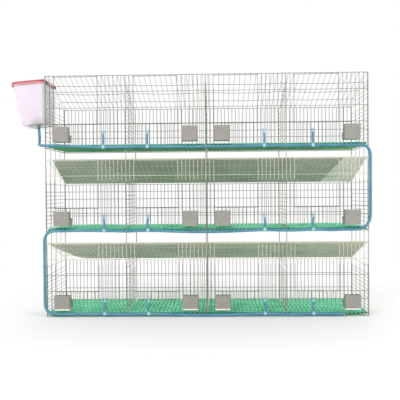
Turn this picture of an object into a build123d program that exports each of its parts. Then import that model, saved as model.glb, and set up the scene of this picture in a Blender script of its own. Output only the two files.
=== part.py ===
"""Three-tier wire rabbit cage with twelve cells, slat floors, feeders and a hose of nipple drinkers.

Millimetres. The origin is on the ground under the middle of the cage. The front faces -Y, +Z is up.
"""
import os
from math import atan2, cos, radians, sin, tan

from build123d import *

os.makedirs("parts", exist_ok=True)

# Cage body
cells = 4
cell_width = 500
cage_depth = 500
front_height = 450
back_height = 300
tier_gap = 75
foot_height = 8
tier_names = ["bottom", "middle", "top"]

# Wire and mesh
mesh_wire = 3
post_wire = 5
rod_wire = 5
roof_wire = 2.2
upright_pitch = 25
rail_pitch = 100
roof_wires_per_cell = 15
roof_cross_shares = [0.015, 0.285, 0.52, 0.76]
side_rail_pitch = 25
dense_height = 250
weld_bite = 0.1
wire_gap = 0.1

# Doors: each opening starts this far from the left of its cell
door_offset = 50
door_width = 275
door_height = 300
door_wire = 3
door_clearance = 0.4
hinge_drop = 5
ring_wire = 1.8
ring_clearance = 0.1
ring_offsets = [50, 225]

# Feeders and their cut-outs in the front mesh
feeder_centres = [100, 400, 100, 400]
feeder_cutout = 100
feeder_side_gap = 0.75
feeder_sheet = 1
feeder_bottom = 37
feeder_top = 128
feeder_mouth = 50
feeder_toe = 38
trough_floor = 45
trough_lip = 60
trough_height = 82
feeder_throat = 62
hook_width = 12
hook_spread = 75

# Plastic slat floors
mat_thickness = 15
mat_side_gap = 6.5
mat_end_gap = 5.5
slot_pitch = 25
slot_width = 9
slot_rows = 5
slot_length = 62
mat_seat = 0.05
rod_places = [-200, -65, 65, 200]

# Manure boards
board_thickness = 2
board_inset = 10
board_end_gap = 2

# Drinker line
hose_diameter = 18
hose_bore = 13
hose_heights = [10, 6, 3]
hose_front_gap = 2.5
hose_side = 14
hose_bend = 60
hose_end = 850
drinker_places = [362.5, 137.5, 362.5, 162.5]
tee_diameter = 22
tee_length = 18
branch_diameter = 14
branch_bore = 10
nipple_diameter = 10
nipple_height = 92
pin_diameter = 3
pin_clearance = 0.1
pin_travel = 1.5
holder_diameter = 15
clip_width = 18
tie_thickness = 1
tie_width = 3

# Water tank, hung beside the top tier with its inner wall upright
tank_width = 154
tank_depth = 242
tank_height = 272
tank_mouth_depth = 270
tank_turn = 4.8
tank_wall = 3
tank_corner = 16
mouth_corner = 24
tank_gap = 18.5
tank_foot = 1223
tank_middle = -57
rim_width = 4
rim_height = 6
lid_thickness = 4
lid_skirt = 16
lid_fit = 0.5
lid_seat = 0.2
grip_length = 45
grip_places = [-86, 114]
bracket_wire = 4
bracket_spread = 160

# Places worked out from the sizes above
cage_width = cells * cell_width
tier_pitch = front_height + tier_gap
floor_z = [foot_height + tier_pitch * tier for tier in range(len(tier_names))]
left = -cage_width / 2
front = -cage_depth / 2
back = cage_depth / 2
mesh_r = mesh_wire / 2
post_r = post_wire / 2
rod_r = rod_wire / 2
weld_step = mesh_wire - weld_bite
post_step = mesh_r + post_r - weld_bite
front_rail_y = front + weld_step
back_rail_y = back - weld_step
rail_end = cage_width / 2 + mesh_r - 3 * wire_gap
post_x = cage_width / 2 + mesh_r + post_r + wire_gap
side_rail_x = post_x + post_step
side_upright_x = side_rail_x - weld_step
divider_post_y = back_rail_y - mesh_r - post_r - wire_gap / 2
divider_rail_shift = post_step
divider_upright_shift = divider_rail_shift - weld_step
cell_lefts = [left + cell * cell_width for cell in range(cells)]
divider_xs = cell_lefts[1:]
door_sill = front_height - door_height
feeder_rail = feeder_cutout
hose_r = hose_diameter / 2
hose_y = front - mesh_r - hose_r - hose_front_gap

# The roof leans from the front top rail down to the back top rail
roof_angle = atan2(front_height - back_height, back_rail_y - front_rail_y)
roof_run = (back_rail_y - front_rail_y) / cos(roof_angle)


def roof_plane(floor, lift):
    """Plane along the roof slope, starting over the front top rail and raised square to the slope."""
    upward = Vector(0, sin(roof_angle), cos(roof_angle))
    start = Vector(0, front_rail_y, floor + front_height) + upward * lift
    return Plane(origin=start, x_dir=(1, 0, 0), z_dir=upward)


def roof_level(y):
    """Height of the roof's rail line above the tier floor."""
    return front_height - (y - front_rail_y) * tan(roof_angle)


def save(name, *pieces):
    """Write one node: a single solid, or a group of separate solids."""
    solids = [solid for piece in pieces for solid in piece.solids()]
    node = solids[0] if len(solids) == 1 else Compound(children=solids)
    node.label = name
    export_step(node, f"parts/{name}.step")


def upright_group(places, bottom, top, diameter):
    """Vertical wires at the given (x, y) places."""
    middle = (bottom + top) / 2
    with BuildPart() as group:
        with Locations(*[(x, y, middle) for x, y in places]):
            Cylinder(diameter / 2, top - bottom)
    return group.part


def cross_rails(spans, y, diameter):
    """Level wires along X, one for each (x start, x end, z)."""
    rails = []
    for start, end, z in spans:
        with BuildPart(Plane(origin=(start, y, z), z_dir=(1, 0, 0))) as rail:
            Cylinder(diameter / 2, end - start, align=(Align.CENTER, Align.CENTER, Align.MIN))
        rails.append(rail.part)
    return Compound(children=rails)


def depth_rails(spans, x, diameter):
    """Level wires along Y, one for each (y start, y end, z)."""
    rails = []
    for start, end, z in spans:
        with BuildPart(Plane(origin=(x, start, z), z_dir=(0, 1, 0))) as rail:
            Cylinder(diameter / 2, end - start, align=(Align.CENTER, Align.CENTER, Align.MIN))
        rails.append(rail.part)
    return Compound(children=rails)


def strap(plane, first, first_radius, second, second_radius, thickness, width):
    """A closed loop round two round things, drawn on a plane and as wide as asked."""
    with BuildPart() as loop:
        with BuildSketch(plane) as outside:
            with Locations(first):
                Circle(first_radius + thickness)
            with Locations(second):
                Circle(second_radius + thickness)
            make_hull()
        extrude(amount=width / 2, both=True)
        with BuildSketch(plane) as inside:
            with Locations(first):
                Circle(first_radius)
            with Locations(second):
                Circle(second_radius)
            make_hull()
        extrude(amount=width / 2, both=True, mode=Mode.SUBTRACT)
    return loop.part


# Front panels: uprights, rails cut at the doors, and cut-outs for the feeders
upright_count = round(cage_width / upright_pitch) + 1


def upright_span(offset, cell):
    """Bottom and top of the front upright that stands this far from the left of its cell."""
    in_door = door_offset < offset < door_offset + door_width
    in_feeder = abs(offset - feeder_centres[cell]) < feeder_cutout / 2
    bottom = feeder_rail if in_feeder else 0
    top = door_sill if in_door else front_height
    return bottom - mesh_r, top + mesh_r


def front_uprights(floor):
    spans = {}
    for number in range(upright_count):
        x = left + number * upright_pitch
        cell = min(int((x - left) // cell_width), cells - 1)
        span = upright_span(x - cell_lefts[cell], cell)
        spans.setdefault(span, []).append((x, front))
    return [upright_group(places, floor + low, floor + high, mesh_wire)
            for (low, high), places in spans.items()]


def front_rails(floor):
    spans = [(-rail_end, rail_end, floor + level) for level in (0, feeder_rail, door_sill, front_height)]
    edges = [-rail_end]
    for cell_left in cell_lefts:
        edges += [cell_left + door_offset + mesh_r, cell_left + door_offset + door_width - mesh_r]
    edges.append(rail_end)
    for level in range(door_sill + rail_pitch, front_height, rail_pitch):
        for start, end in zip(edges[0::2], edges[1::2]):
            spans.append((start, end, floor + level))
    return cross_rails(spans, front_rail_y, mesh_wire)


for tier, floor in zip(tier_names, floor_z):
    save(f"front_panel_{tier}", *front_uprights(floor), front_rails(floor))

# Back panels: full mesh, lower than the front
for tier, floor in zip(tier_names, floor_z):
    places = [(left + number * upright_pitch, back) for number in range(upright_count)]
    uprights = upright_group(places, floor - mesh_r, floor + back_height + mesh_r, mesh_wire)
    spans = [(-rail_end, rail_end, floor + level) for level in range(0, back_height + 1, rail_pitch)]
    save(f"back_panel_{tier}", uprights, cross_rails(spans, back_rail_y, mesh_wire))

# Roof meshes: sloping wires lying on the front and back top rails, and cross wires on top of them
roof_pitch = cell_width / roof_wires_per_cell
roof_r = roof_wire / 2
roof_xs = [left + (number + 0.5) * roof_pitch for number in range(cells * roof_wires_per_cell)]
roof_xs = [left + roof_r] + roof_xs + [-left - roof_r]
roof_step = mesh_r + roof_r - weld_bite
roof_overhang = mesh_r - 2 * wire_gap

for tier, floor in zip(tier_names, floor_z):
    slope = roof_plane(floor, roof_step)
    with BuildPart(slope) as sloping_wires:
        with Locations(*[(x, roof_run / 2, 0) for x in roof_xs]):
            Cylinder(roof_r, roof_run + 2 * roof_overhang, rotation=(90, 0, 0))
    with BuildPart(slope.offset(roof_step)) as cross_wires:
        with Locations(*[(0, roof_run * share, 0) for share in roof_cross_shares]):
            Cylinder(mesh_r, 2 * rail_end, rotation=(0, 90, 0))
    save(f"roof_mesh_{tier}", sloping_wires.part, cross_wires.part)

# Side panels: posts and uprights right up the cage, with close rails over the lower part of each tier
upright_bays = 4
inner_upright_ys = [front + cage_depth * bay / upright_bays for bay in range(1, upright_bays)]
side_levels = list(range(0, dense_height + 1, side_rail_pitch)) + [back_height]
high_start = dense_height + 2 * side_rail_pitch
top_side_levels = list(range(high_start, front_height - side_rail_pitch, side_rail_pitch))
roof_allowance = 2 * mesh_wire
top_floor = floor_z[-1]


def slope_end(level):
    """How far back a level wire can run before it meets the underside of the roof."""
    reach = front_rail_y + (front_height - level - roof_allowance) / tan(roof_angle)
    return min(reach, back)


def side_panel(side):
    spans = []
    for floor in floor_z:
        spans += [(front - post_r, back + post_r, floor + level) for level in side_levels]
    spans += [(front - post_r, slope_end(level), top_floor + level) for level in top_side_levels[1:]]
    rails = depth_rails(spans, side * side_rail_x, mesh_wire)
    posts = [upright_group([(side * post_x, front)], 0, top_floor + front_height, post_wire),
             upright_group([(side * post_x, back)], 0, top_floor + back_height + post_r, post_wire)]
    uprights = [upright_group([(side * side_upright_x, y)], foot_height - mesh_r, top_floor + roof_level(y),
                              mesh_wire) for y in inner_upright_ys]
    return [rails] + posts + uprights


save("side_panel_left", *side_panel(-1))
save("side_panel_right", *side_panel(1))

# Dividers: two posts right up the cage and a close mesh inside each tier
divider_front = front_rail_y + mesh_r + wire_gap
divider_back = back_rail_y - mesh_r - wire_gap
divider_names = ["left", "middle", "right"]


def divider(x):
    spans = []
    uprights = []
    for floor in floor_z:
        spans += [(divider_front, divider_back, floor + level) for level in side_levels[:-1]]
        spans += [(divider_front, slope_end(level), floor + level) for level in top_side_levels]
        for y in inner_upright_ys:
            top = floor + roof_level(y) - roof_allowance
            uprights.append(upright_group([(x + divider_upright_shift, y)], floor - mesh_r, top, mesh_wire))
    rails = depth_rails(spans, x + divider_rail_shift, mesh_wire)
    posts = [upright_group([(x, -divider_post_y)], 0, top_floor + front_height, post_wire),
             upright_group([(x, divider_post_y)], 0, top_floor + back_height, post_wire)]
    return [rails] + posts + uprights


for name, x in zip(divider_names, divider_xs):
    save(f"divider_{name}", *divider(x))

# Floor rods lie on the lowest side and divider rails
rod_lift = mesh_r + rod_r - weld_bite
rod_reach = side_rail_x + mesh_r
rods = [cross_rails([(-rod_reach, rod_reach, floor + rod_lift) for floor in floor_z], y, rod_wire)
        for y in rod_places]
save("floor_rods", *rods)

# Slat floors: one moulded mat in each cell, with slots that run front to back
mat_lift = rod_lift + rod_r + mat_seat
mat_width = cell_width - 2 * mat_side_gap
mat_depth = cage_depth - 2 * mat_end_gap
slot_columns = int(mat_width // slot_pitch)
row_pitch = mat_depth / slot_rows

for tier, floor in zip(tier_names, floor_z):
    with BuildPart() as mats:
        with BuildSketch(Plane.XY.offset(floor + mat_lift)) as outline:
            for cell_left in cell_lefts:
                with Locations((cell_left + cell_width / 2, 0)):
                    Rectangle(mat_width, mat_depth)
                    with GridLocations(slot_pitch, row_pitch, slot_columns, slot_rows):
                        Rectangle(slot_width, slot_length, mode=Mode.SUBTRACT)
        extrude(amount=mat_thickness)
    save(f"floor_mats_{tier}", mats.part)

# Manure boards lie on the roof meshes of the lower two tiers
board_lift = 2 * roof_step + mesh_r
board_length = cage_width - 2 * board_end_gap
board_width = roof_run - 2 * board_inset

for tier, floor in zip(tier_names[:-1], floor_z[:-1]):
    with BuildPart() as board:
        with BuildSketch(roof_plane(floor, board_lift)) as sheet:
            with Locations((0, roof_run / 2)):
                Rectangle(board_length, board_width)
        extrude(amount=board_thickness)
    save(f"manure_board_{tier}", board.part)

# Doors: a wire gate hung inside each opening from the front top rail
door_r = door_wire / 2
door_side_y = front_rail_y + mesh_r + door_clearance + door_r
door_bar_y = door_side_y + door_wire - weld_bite
door_reach = door_height + door_wire + door_clearance

for tier, floor in zip(tier_names, floor_z):
    rail_z = floor + front_height
    for cell, cell_left in enumerate(cell_lefts):
        door_left = cell_left + door_offset
        door_right = door_left + door_width
        levels = [rail_z - hinge_drop, rail_z - door_reach]
        levels += [rail_z - level for level in range(rail_pitch, door_height, rail_pitch)]
        spans = [(door_left - door_r, door_right + door_r, z) for z in levels]
        bars = cross_rails(spans, door_bar_y, door_wire)
        sides = upright_group([(door_left, door_side_y), (door_right, door_side_y)],
                              rail_z - door_reach - door_r, rail_z - hinge_drop + door_r, door_wire)
        save(f"door_{tier}_{cell + 1}", bars, sides)

# Door rings: closed wire links round the top rail and the top bar of each door
rings = []
for floor in floor_z:
    rail_z = floor + front_height
    for cell_left in cell_lefts:
        for offset in ring_offsets:
            ring_x = cell_left + door_offset + offset
            rings.append(strap(Plane.YZ.offset(ring_x), (front_rail_y, rail_z), mesh_r + ring_clearance,
                               (door_bar_y, rail_z - hinge_drop), door_r + ring_clearance,
                               ring_wire, ring_wire))

# Panel rings: clinched loops that join the panels at the corners and at the dividers
ring_levels = [62.5, 212.5]
joins = [((side * cage_width / 2, y), mesh_r, (side * post_x, y), post_r)
         for side in (-1, 1) for y in (front, back)]
joins += [((x, side * cage_depth / 2), mesh_r, (x, side * divider_post_y), post_r)
          for x in divider_xs for side in (-1, 1)]
clinches = []
for floor in floor_z:
    for level in ring_levels:
        for first, first_r, second, second_r in joins:
            clinches.append(strap(Plane.XY.offset(floor + level), first, first_r + ring_clearance,
                                  second, second_r + ring_clearance, tie_thickness, ring_wire))
save("wire_rings", *rings, *clinches)

# Feeders: folded sheet hoppers outside the mesh, with a trough inside and two tabs over a rail
feeder_width = feeder_cutout - mesh_wire - 2 * feeder_side_gap
hopper_back = -mesh_r - feeder_sheet
tab_base = feeder_rail + mesh_r + 3 * wire_gap
tab_back = weld_step + mesh_r + 3 * wire_gap


def side_profile(floor, outline, x):
    """A closed outline in side view; y counts inwards from the front uprights, z up from the floor."""
    with BuildSketch(Plane.YZ.offset(x)) as profile:
        with BuildLine() as edge:
            Polyline([(front + y, floor + z) for y, z in outline], close=True)
        make_face()
    return profile.sketch


def feeder(x, floor):
    sheet = feeder_sheet
    skin = [(-feeder_mouth, feeder_top), (-feeder_toe, feeder_bottom), (trough_floor, feeder_bottom),
            (trough_lip, trough_height), (hopper_back, trough_height), (hopper_back, feeder_top)]
    hopper = [(sheet - feeder_mouth, feeder_top + sheet), (sheet - feeder_toe, feeder_bottom + sheet),
              (hopper_back - sheet, feeder_bottom + sheet), (hopper_back - sheet, feeder_top + sheet)]
    trough = [(hopper_back - sheet, feeder_bottom + sheet), (trough_floor - sheet, feeder_bottom + sheet),
              (trough_lip - sheet, trough_height + sheet), (hopper_back, trough_height + sheet),
              (hopper_back, feeder_throat), (hopper_back - sheet, feeder_throat)]
    tab = [(hopper_back - sheet, tab_base), (hopper_back - sheet, tab_base + sheet),
           (tab_back + sheet, tab_base + sheet), (tab_back + sheet, feeder_rail - mesh_r),
           (tab_back, feeder_rail - mesh_r), (tab_back, tab_base)]
    with BuildPart() as body:
        extrude(side_profile(floor, skin, x), amount=feeder_width / 2, both=True)
        for hollow in (hopper, trough):
            extrude(side_profile(floor, hollow, x), amount=feeder_width / 2 - sheet, both=True,
                    mode=Mode.SUBTRACT)
        for shift in (-hook_spread / 2, hook_spread / 2):
            extrude(side_profile(floor, tab, x + shift), amount=hook_width / 2, both=True)
    return body.part


for tier, floor in zip(tier_names, floor_z):
    save(f"feeders_{tier}", *[feeder(cell_left + centre, floor)
                              for cell_left, centre in zip(cell_lefts, feeder_centres)])

# Water tank: a tapered tub, turned by its own taper so that the wall beside the cage stands upright
turn = radians(tank_turn)
tank_across = Vector(cos(turn), 0, sin(turn))
tank_up = Vector(-sin(turn), 0, cos(turn))
tank_inner = -(side_rail_x + mesh_r + tank_gap)
tank_base = Plane(origin=(tank_inner, tank_middle, tank_foot), x_dir=tank_across, z_dir=tank_up)
flare = tank_height * tan(turn)
mouth_width = tank_width + 2 * flare
outlet_place = (-56, -54)
outlet_thread = 16
outlet_flange = 26
outlet_nut = 28
nut_height = 10
barb_length = 22
barb_wall = 1.5
thread_fit = 0.05


def tub(wall):
    """The tub's inside or outside, lofted from foot to mouth and set in by the wall given."""
    with BuildPart() as body:
        with BuildSketch(tank_base.offset(wall)) as foot:
            with Locations((-tank_width / 2, 0)):
                RectangleRounded(tank_width - 2 * wall, tank_depth - 2 * wall, tank_corner - wall)
        with BuildSketch(tank_base.offset(tank_height)) as mouth:
            with Locations((-tank_width / 2, 0)):
                RectangleRounded(mouth_width - 2 * wall, tank_mouth_depth - 2 * wall, mouth_corner - wall)
        loft()
    return body.part


with BuildPart() as tank:
    add(tub(0))
    with BuildSketch(tank_base.offset(tank_height - rim_height)) as rim:
        with Locations((-tank_width / 2, 0)):
            RectangleRounded(mouth_width + 2 * rim_width, tank_mouth_depth + 2 * rim_width,
                             mouth_corner + rim_width)
    extrude(amount=rim_height)
    add(tub(tank_wall), mode=Mode.SUBTRACT)
    with BuildSketch(tank_base) as outlet_hole:
        with Locations(outlet_place):
            Circle(outlet_thread / 2 + thread_fit)
    extrude(amount=tank_wall, mode=Mode.SUBTRACT)
save("water_tank", tank.part)

# Lid: a shallow cap over the rim, with a raised field and two grips at each side
lid_width = mouth_width + 2 * (rim_width + lid_fit + lid_thickness)
lid_depth = tank_mouth_depth + 2 * (rim_width + lid_fit + lid_thickness)
lid_corner = mouth_corner + rim_width + lid_fit + lid_thickness
lid_base = tank_height + lid_seat
field_border = 24
field_height = 3
grip_reach = 5
grip_drop = 20

with BuildPart() as lid:
    with BuildSketch(tank_base.offset(lid_base - lid_skirt)) as cap:
        with Locations((-tank_width / 2, 0)):
            RectangleRounded(lid_width, lid_depth, lid_corner)
    extrude(amount=lid_skirt + lid_thickness)
    with BuildSketch(tank_base.offset(lid_base - lid_skirt)) as seat:
        with Locations((-tank_width / 2, 0)):
            RectangleRounded(lid_width - 2 * lid_thickness, lid_depth - 2 * lid_thickness,
                             lid_corner - lid_thickness)
    extrude(amount=lid_skirt, mode=Mode.SUBTRACT)
    with BuildSketch(tank_base.offset(lid_base + lid_thickness)) as field:
        with Locations((-tank_width / 2, 0)):
            RectangleRounded(lid_width - 2 * field_border, lid_depth - 2 * field_border,
                             lid_corner - field_border)
    extrude(amount=field_height)
    with BuildSketch(tank_base.offset(lid_base - grip_drop)) as grips:
        with Locations(*[(-tank_width / 2 + side * (lid_width + grip_reach) / 2, place)
                         for side in (-1, 1) for place in grip_places]):
            Rectangle(grip_reach, grip_length)
    extrude(amount=grip_drop)
save("tank_lid", lid.part)

# Outlet: a threaded spigot with a flange inside the tub, a nut outside and a plain end for the hose
with BuildPart() as spigot:
    with BuildSketch(tank_base.offset(tank_wall)) as flange:
        with Locations(outlet_place):
            Circle(outlet_flange / 2)
    extrude(amount=tank_wall)
    with BuildSketch(tank_base.offset(tank_wall)) as thread:
        with Locations(outlet_place):
            Circle(outlet_thread / 2)
    extrude(amount=-(tank_wall + nut_height))
    with BuildSketch(tank_base.offset(-nut_height)) as spout:
        with Locations(outlet_place):
            Circle(hose_bore / 2 - thread_fit)
    extrude(amount=-barb_length)
    with BuildSketch(tank_base.offset(2 * tank_wall)) as bore:
        with Locations(outlet_place):
            Circle(hose_bore / 2 - barb_wall)
    extrude(amount=-(2 * tank_wall + nut_height + barb_length), mode=Mode.SUBTRACT)
save("tank_outlet", spigot.part)

with BuildPart() as nut:
    with BuildSketch(tank_base) as hexagon:
        with Locations(outlet_place):
            RegularPolygon(outlet_nut / 2, 6)
            Circle(outlet_thread / 2 + thread_fit, mode=Mode.SUBTRACT)
    extrude(amount=-nut_height)
save("outlet_nut", nut.part)

# Bracket: two wire arms hooked over a side rail and under the tub, joined by a cross bar
bracket_rails_up = 7
bracket_rail = top_floor + bracket_rails_up * side_rail_pitch
bracket_r = bracket_wire / 2
hook_lift = mesh_r + bracket_r + wire_gap
hook_inside = -(side_rail_x - hook_lift)
hook_outside = -(side_rail_x + hook_lift)
hook_tail = 9
hook_bend = 3
arm_drop = tank_base.offset(-bracket_r - wire_gap)
arm_reach = 112


def bracket_arm(y):
    inner = arm_drop.from_local_coords((hook_outside - tank_inner, 0, 0))
    outer = arm_drop.from_local_coords((-arm_reach, 0, 0))
    points = [(hook_inside, y, bracket_rail - hook_tail), (hook_inside, y, bracket_rail + hook_lift),
              (hook_outside, y, bracket_rail + hook_lift), (hook_outside, y, inner.Z),
              (outer.X, y, outer.Z)]
    with BuildPart() as arm:
        with BuildLine() as route:
            FilletPolyline(*points, radius=hook_bend)
        with BuildSketch(Plane(origin=route.line @ 0, z_dir=route.line % 0)) as section:
            Circle(bracket_r)
        sweep()
    return arm.part


arm_ys = [tank_middle - bracket_spread / 2, tank_middle + bracket_spread / 2]
brace_place = arm_drop.from_local_coords((bracket_wire - arm_reach, 0, -(bracket_wire - weld_bite)))
brace = depth_rails([(arm_ys[0] - bracket_wire, arm_ys[1] + bracket_wire, brace_place.Z)], brace_place.X,
                    bracket_wire)
save("tank_bracket", *[bracket_arm(y) for y in arm_ys], brace)

# Supply hose: down from the tank, then along the front of each tier in turn
hose_start = tank_base.from_local_coords((*outlet_place, -nut_height))
hose_fall = 105
hose_drop = tank_base.from_local_coords((*outlet_place, -nut_height - hose_fall))
hose_zs = [floor + height for floor, height in zip(floor_z, hose_heights)]
hose_turn = cage_width / 2 + hose_side
hose_swing = 43
hose_points = [hose_start, hose_drop, (-(post_x + hose_swing), hose_y, hose_zs[2]),
               (hose_turn, hose_y, hose_zs[2]), (hose_turn, hose_y, hose_zs[1]),
               (-hose_turn, hose_y, hose_zs[1]), (-hose_turn, hose_y, hose_zs[0]),
               (hose_end, hose_y, hose_zs[0])]
hose_radii = [hose_bend] * (len(hose_points) - 2)

with BuildPart() as hose:
    with BuildLine() as hose_route:
        FilletPolyline(*hose_points, radius=hose_radii)
    with BuildSketch(Plane(origin=hose_route.line @ 0, z_dir=hose_route.line % 0)) as hose_section:
        Circle(hose_r)
        Circle(hose_bore / 2, mode=Mode.SUBTRACT)
    sweep()
save("supply_hose", hose.part)
hose_length = sum(edge.length for edge in hose_route.edges())
print("supply hose length", round(hose_length), "bend radii", hose_radii)

# Plug in the far end of the hose
plug_head = 7
plug_stem = 14
with BuildPart(Plane(origin=(hose_end, hose_y, hose_zs[0]), z_dir=(1, 0, 0))) as plug:
    Cylinder(hose_r, plug_head, align=(Align.CENTER, Align.CENTER, Align.MIN))
    Cylinder(hose_bore / 2 - thread_fit, plug_stem, align=(Align.CENTER, Align.CENTER, Align.MAX))
save("hose_plug", plug.part)

# Hose ties: straps round the hose and the lowest front rail, and round the hose and a post on each drop
tie_r = hose_r + ring_clearance
tie_offset = 2.5 * upright_pitch
drop_tie_lift = 10
tie_xs = [x + tie_offset for x in cell_lefts] + [-left - tie_offset]
ties = []
for floor, hose_z in zip(floor_z, hose_zs):
    for x in tie_xs:
        if floor > floor_z[0] or x < hose_end:
            ties.append(strap(Plane.YZ.offset(x), (hose_y, hose_z), tie_r, (front_rail_y, floor),
                              mesh_r + ring_clearance, tie_thickness, tie_width))
for side, tier in ((1, 1), (-1, 0)):
    tie_z = floor_z[tier] + front_height + drop_tie_lift
    ties.append(strap(Plane.XY.offset(tie_z), (side * hose_turn, hose_y), tie_r, (side * post_x, front),
                      post_r + ring_clearance, tie_thickness, tie_width))
save("hose_ties", *ties)

# Drinkers: a tee on the hose, a branch hose, a holder clipped to a rail, a nipple and its pin
boss_radius = 7.5
boss_height = 3
stub_length = 14
stub_r = branch_bore / 2 - thread_fit
tee_rise = tee_diameter / 2 + boss_height
holder_front = -23
holder_back = -2
holder_r = holder_diameter / 2
nipple_front = -8
nipple_shoulder = 18
nipple_nose = 25
nose_diameter = 7
pin_front = 13
pin_back = 29
pin_room = 1
clip_front = -4.5
clip_back = -1.75
clip_low = 98
clip_high = 108
clip_sheet = 2
clip_tab_width = 5
clip_tab_spread = 12
stub_root = 1
pin_r = pin_diameter / 2


def tee(x, hose_z):
    with BuildPart() as body:
        with BuildSketch(Plane.YZ.offset(x)) as sleeve:
            with Locations((hose_y, hose_z)):
                Circle(tee_diameter / 2)
        extrude(amount=tee_length / 2, both=True)
        with BuildSketch(Plane.XY.offset(hose_z)) as boss:
            with Locations((x, hose_y)):
                Circle(boss_radius)
        extrude(amount=tee_rise)
        with BuildSketch(Plane.XY.offset(hose_z + tee_rise)) as stub:
            with Locations((x, hose_y)):
                Circle(stub_r)
        extrude(amount=stub_length)
        with BuildSketch(Plane.YZ.offset(x)) as bore:
            with Locations((hose_y, hose_z)):
                Circle(hose_r + thread_fit)
        extrude(amount=tee_length / 2, both=True, mode=Mode.SUBTRACT)
    return body.part


def branch_hose(x, floor, hose_z):
    bottom = hose_z + tee_rise
    top = floor + nipple_height - holder_r - thread_fit - boss_height
    with BuildPart() as tube:
        with BuildSketch(Plane.XY.offset(bottom)) as section:
            with Locations((x, hose_y)):
                Circle(branch_diameter / 2)
                Circle(branch_bore / 2, mode=Mode.SUBTRACT)
        extrude(amount=top - bottom)
    return tube.part


def drinker_holder(x, floor):
    axis = (x, floor + nipple_height)
    tab = [(clip_front, tab_base), (clip_front, tab_base + clip_sheet),
           (tab_back + clip_sheet, tab_base + clip_sheet), (tab_back + clip_sheet, feeder_rail - mesh_r),
           (tab_back, feeder_rail - mesh_r), (tab_back, tab_base)]
    with BuildPart() as body:
        with BuildSketch(Plane.XZ.offset(-(front + holder_back))) as barrel:
            with Locations(axis):
                Circle(holder_r)
        extrude(amount=holder_back - holder_front)
        with BuildSketch(Plane.XZ.offset(-(front + clip_back))) as clip:
            with Locations((x, floor + (clip_low + clip_high) / 2)):
                Rectangle(clip_width, clip_high - clip_low)
        extrude(amount=clip_back - clip_front)
        for shift in (-clip_tab_spread / 2, clip_tab_spread / 2):
            extrude(side_profile(floor, tab, x + shift), amount=clip_tab_width / 2, both=True)
        with BuildSketch(Plane.XY.offset(floor + nipple_height - holder_r + stub_root)) as stub:
            with Locations((x, hose_y)):
                Circle(stub_r)
        extrude(amount=-stub_length - boss_height)
        with BuildSketch(Plane.XZ.offset(-(front + holder_back))) as socket:
            with Locations(axis):
                Circle(nipple_diameter / 2 + thread_fit)
        extrude(amount=holder_back - nipple_front, mode=Mode.SUBTRACT)
    return body.part


def nipple_body(x, floor):
    axis = (x, floor + nipple_height)
    with BuildPart() as body:
        with BuildSketch(Plane.XZ.offset(-(front + nipple_front))) as barrel:
            with Locations(axis):
                Circle(nipple_diameter / 2)
        extrude(amount=nipple_front - nipple_shoulder)
        with BuildSketch(Plane.XZ.offset(-(front + nipple_shoulder))) as nose:
            with Locations(axis):
                Circle(nose_diameter / 2)
        extrude(amount=nipple_shoulder - nipple_nose)
        with BuildSketch(Plane.XZ.offset(-(front + nipple_nose))) as bore:
            with Locations(axis):
                Circle(pin_r + pin_clearance)
        extrude(amount=nipple_nose - pin_front + pin_travel + pin_room, mode=Mode.SUBTRACT)
    return body.part


def nipple_pin(x, floor):
    with BuildPart() as pin:
        with BuildSketch(Plane.XZ.offset(-(front + pin_front))) as shank:
            with Locations((x, floor + nipple_height)):
                Circle(pin_r)
        extrude(amount=pin_front - pin_back)
        fillet(pin.edges().sort_by(Axis.Y)[-1], pin_r / 2)
    return pin.part


drinkers = [(cell_left + place, floor, hose_z) for floor, hose_z in zip(floor_z, hose_zs)
            for cell_left, place in zip(cell_lefts, drinker_places)]
save("hose_tees", *[tee(x, hose_z) for x, floor, hose_z in drinkers])
save("branch_hoses", *[branch_hose(x, floor, hose_z) for x, floor, hose_z in drinkers])
save("drinker_holders", *[drinker_holder(x, floor) for x, floor, hose_z in drinkers])
save("nipple_bodies", *[nipple_body(x, floor) for x, floor, hose_z in drinkers])
for tier, floor in zip(tier_names, floor_z):
    for cell, (cell_left, place) in enumerate(zip(cell_lefts, drinker_places)):
        save(f"nipple_pin_{tier}_{cell + 1}", nipple_pin(cell_left + place, floor))
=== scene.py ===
"""Looks for the three-tier wire rabbit cage.

Pieces are drawn in millimetres and stored in metres. The front faces -Y, +X is to the right, +Z is up.
"""
from math import atan2, cos, pi, radians, sin, tan

import bmesh
import bpy
from mathutils import Matrix, Vector


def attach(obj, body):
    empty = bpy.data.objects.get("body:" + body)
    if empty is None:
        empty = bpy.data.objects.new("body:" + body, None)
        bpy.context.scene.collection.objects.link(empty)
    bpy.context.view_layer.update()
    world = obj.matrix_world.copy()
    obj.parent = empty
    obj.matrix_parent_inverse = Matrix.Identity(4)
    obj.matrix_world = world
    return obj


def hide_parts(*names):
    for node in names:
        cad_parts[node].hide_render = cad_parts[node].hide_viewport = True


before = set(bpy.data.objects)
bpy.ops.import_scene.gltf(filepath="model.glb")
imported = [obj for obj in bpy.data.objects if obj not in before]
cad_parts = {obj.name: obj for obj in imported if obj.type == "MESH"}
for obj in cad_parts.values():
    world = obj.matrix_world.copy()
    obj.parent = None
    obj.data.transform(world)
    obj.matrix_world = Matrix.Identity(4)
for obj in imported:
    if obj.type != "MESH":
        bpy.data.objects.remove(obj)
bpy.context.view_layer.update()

# Cage body
mm = 0.001
cells = 4
cell_width = 500
cage_depth = 500
front_height = 450
back_height = 300
tier_gap = 75
foot_height = 8
tiers = ["bottom", "middle", "top"]
cage_width = cells * cell_width
left = -cage_width / 2
front = -cage_depth / 2
back = cage_depth / 2
cell_lefts = [left + cell_width * cell for cell in range(cells)]
floors = [foot_height + (front_height + tier_gap) * number for number in range(len(tiers))]
top_floor = floors[-1]

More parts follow.
